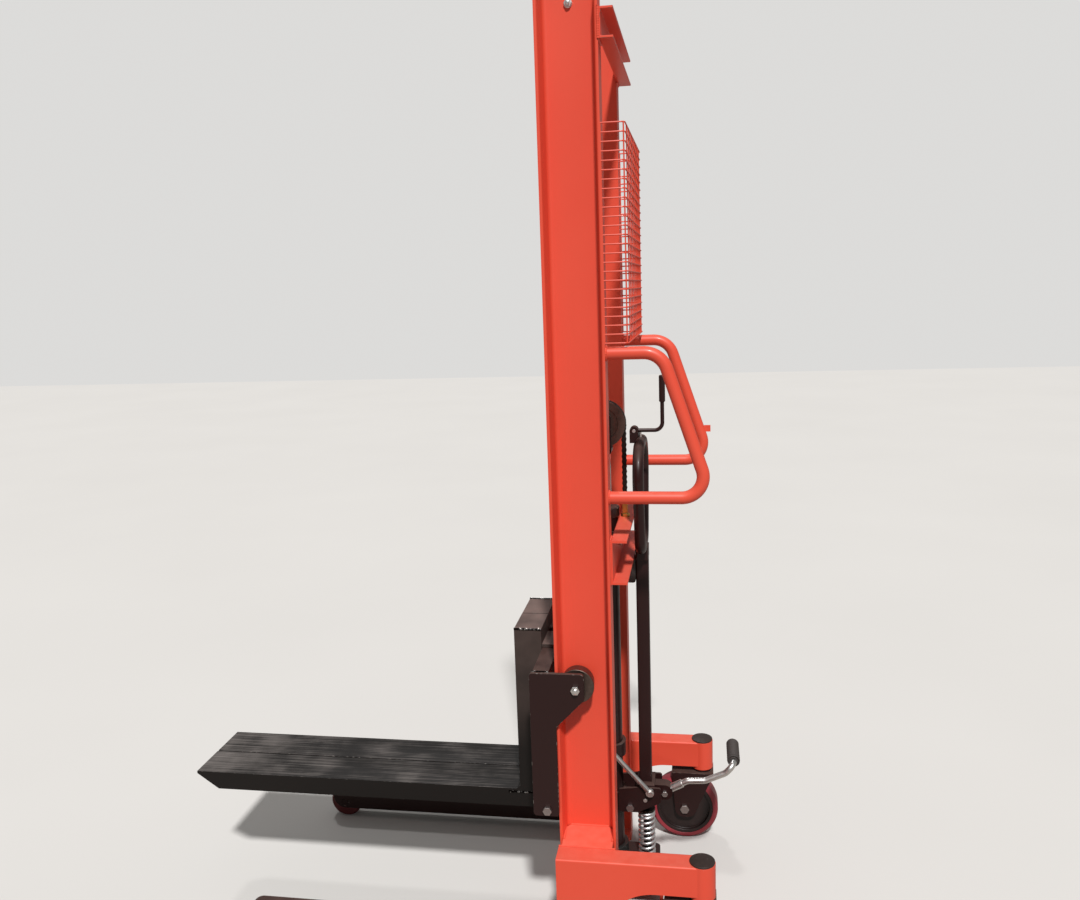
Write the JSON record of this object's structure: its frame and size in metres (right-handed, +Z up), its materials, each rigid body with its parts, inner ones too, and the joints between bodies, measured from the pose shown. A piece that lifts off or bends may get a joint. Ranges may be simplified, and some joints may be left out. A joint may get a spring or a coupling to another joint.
{
  "type": "hand pallet stacker",
  "caption": "Hand pallet stacker with a channel mast, chain-lifted fork carriage, hydraulic hand and foot pump, straddle legs and swivelling rear wheels.",
  "frame": {"origin": "on the floor under the middle of the overall length and width, forks in the pictured place", "axes": "+Z up, forks point to -X, the operator stands at +X, left is -Y"},
  "size_m": [1.3586, 0.648, 2.08],
  "materials": {
    "red_paint": "glossy vermilion paint",
    "black_paint": "satin black paint",
    "zinc_steel": "bright zinc plating",
    "chrome": "polished chrome",
    "chain_steel": "oiled dark steel",
    "roller_steel": "turned steel",
    "cast_block": "black painted casting",
    "rubber": "matt black rubber",
    "tread": "red cast polyurethane",
    "hub": "black painted wheel centre",
    "cap": "black plastic"
  },
  "bodies": {
    "frame": {"mast_channel_left": "red_paint", "mast_channel_right": "red_paint", "top_beam": "red_paint", "mid_beam": "red_paint", "base_plate": "red_paint", "base_beam_left": "red_paint", "base_beam_right": "red_paint", "leg_left": "black_paint", "leg_right": "black_paint", "handrail_left": "red_paint", "handrail_right": "red_paint", "mesh_guard": "red_paint", "housing_caps": "cap", "frame_pins": "zinc_steel", "ram_barrel": "black_paint", "ram_gland": "black_paint", "ram_clamps": "black_paint", "pump_block": "cast_block", "pivot_bracket": "black_paint", "pivot_pin": "zinc_steel", "tiller_rest": "rubber", "chain_anchor": "zinc_steel"},
    "ram_rod": {"ram_rod": "chrome", "ram_piston": "roller_steel", "pulley_yoke": "black_paint", "pulley_axle": "zinc_steel", "chain_bend": "chain_steel", "chain_rear": "chain_steel"},
    "chain_pulley": {"chain_pulley": "roller_steel"},
    "carriage": {"carriage_plate_left": "black_paint", "carriage_plate_right": "black_paint", "carriage_bars": "black_paint", "roller_axles": "zinc_steel", "chain_front": "chain_steel"},
    "pump_lever": {"pump_lever": "black_paint", "lever_bolts": "zinc_steel", "tiller_tube": "black_paint", "tiller_loop": "black_paint", "stop_rod": "zinc_steel", "pedal_rod": "zinc_steel", "pedal_grip": "rubber"},
    "press_roller": {"press_roller": "roller_steel"},
    "release_lever": {"release_lever": "black_paint"},
    "push_rod": {"push_rod": "zinc_steel"},
    "pump_piston": {"pump_piston": "zinc_steel", "pump_spring": "chrome"},
    "fork_left": {"fork_left": "black_paint"},
    "mast_roller_left": {"mast_roller_left": "roller_steel"},
    "guide_roller_left": {"guide_roller_left": "roller_steel"},
    "caster_left": {"caster_fork_left": "black_paint"},
    "wheel_left": {"wheel_hub_left": "hub", "wheel_tread_left": "tread"},
    "load_wheel_left": {"load_wheel_left": "tread"},
    "fork_right": {"fork_right": "black_paint"},
    "mast_roller_right": {"mast_roller_right": "roller_steel"},
    "guide_roller_right": {"guide_roller_right": "roller_steel"},
    "caster_right": {"caster_fork_right": "black_paint"},
    "wheel_right": {"wheel_hub_right": "hub", "wheel_tread_right": "tread"},
    "load_wheel_right": {"load_wheel_right": "tread"}
  },
  "joints": [
    {"name": "ram_lift", "type": "slide", "parent": "frame", "child": "ram_rod", "axis": [0, 0, 1], "range_m": [-0.12, 0.68], "deforming": ["chain_rear"]},
    {"name": "carriage_lift", "type": "slide", "parent": "ram_rod", "child": "carriage", "axis": [0, 0, 1], "range_m": [-0.12, 0.68], "deforming": ["chain_front"]},
    {"name": "pulley_spin", "type": "hinge", "parent": "ram_rod", "child": "chain_pulley", "pos_m": [0.36375, 0, 1.195], "axis": [0, 1, 0], "range_deg": [-140, 782]},
    {"name": "pump_stroke", "type": "hinge", "parent": "frame", "child": "pump_lever", "pos_m": [0.41475, 0, 0.255], "axis": [0, 1, 0], "range_deg": [0, 45], "stiffness_Nm_per_rad": 32, "springref_deg": -17.19},
    {"name": "piston_stroke", "type": "slide", "parent": "frame", "child": "pump_piston", "axis": [0, 0, 1], "range_m": [-0.0325, 0], "deforming": ["pump_spring"]},
    {"name": "press_spin", "type": "hinge", "parent": "pump_lever", "child": "press_roller", "pos_m": [0.45175, 0, 0.275], "axis": [0, 1, 0], "continuous": true},
    {"name": "release_pull", "type": "hinge", "parent": "pump_lever", "child": "release_lever", "pos_m": [0.43775, 0, 1.178], "axis": [0, 1, 0], "range_deg": [0, 25], "stiffness_Nm_per_rad": 1.2, "springref_deg": -22.92},
    {"name": "push_rod_slide", "type": "slide", "parent": "pump_lever", "child": "push_rod", "axis": [0, 0, 1], "range_m": [-0.0086, 0]},
    {"name": "fork_left_slide", "type": "slide", "parent": "carriage", "child": "fork_left", "axis": [0, -1, 0], "range_m": [0, 0.12]},
    {"name": "mast_roller_left_spin", "type": "hinge", "parent": "carriage", "child": "mast_roller_left", "pos_m": [0.31824, -0.236, 0.647], "axis": [0, 1, 0], "continuous": true},
    {"name": "guide_roller_left_spin", "type": "hinge", "parent": "carriage", "child": "guide_roller_left", "pos_m": [0.24775, -0.236, 0.36], "axis": [0, 1, 0], "continuous": true},
    {"name": "caster_left_swivel", "type": "hinge", "parent": "frame", "child": "caster_left", "pos_m": [0.58775, -0.2845, 0.195], "axis": [0, 0, 1], "continuous": true},
    {"name": "wheel_left_spin", "type": "hinge", "parent": "caster_left", "child": "wheel_left", "pos_m": [0.53975, -0.2845, 0.09], "axis": [0, 1, 0], "continuous": true},
    {"name": "load_wheel_left_spin", "type": "hinge", "parent": "frame", "child": "load_wheel_left", "pos_m": [-0.44225, -0.2845, 0.045], "axis": [0, 1, 0], "continuous": true},
    {"name": "fork_right_slide", "type": "slide", "parent": "carriage", "child": "fork_right", "axis": [0, 1, 0], "range_m": [0, 0.12]},
    {"name": "mast_roller_right_spin", "type": "hinge", "parent": "carriage", "child": "mast_roller_right", "pos_m": [0.31824, 0.236, 0.647], "axis": [0, 1, 0], "continuous": true},
    {"name": "guide_roller_right_spin", "type": "hinge", "parent": "carriage", "child": "guide_roller_right", "pos_m": [0.24775, 0.236, 0.36], "axis": [0, 1, 0], "continuous": true},
    {"name": "caster_right_swivel", "type": "hinge", "parent": "frame", "child": "caster_right", "pos_m": [0.58775, 0.2845, 0.195], "axis": [0, 0, 1], "continuous": true},
    {"name": "wheel_right_spin", "type": "hinge", "parent": "caster_right", "child": "wheel_right", "pos_m": [0.53975, 0.2845, 0.09], "axis": [0, 1, 0], "continuous": true},
    {"name": "load_wheel_right_spin", "type": "hinge", "parent": "frame", "child": "load_wheel_right", "pos_m": [-0.44225, 0.2845, 0.045], "axis": [0, 1, 0], "continuous": true}
  ],
  "couplings": [
    {"joint": "carriage_lift", "follows": "ram_lift", "ratio": 1},
    {"joint": "pulley_spin", "follows": "ram_lift", "rad_per_m": 20},
    {"joint": "piston_stroke", "follows": "pump_stroke", "m_per_rad": -0.0408},
    {"joint": "push_rod_slide", "follows": "release_pull", "m_per_rad": -0.0195}
  ]
}
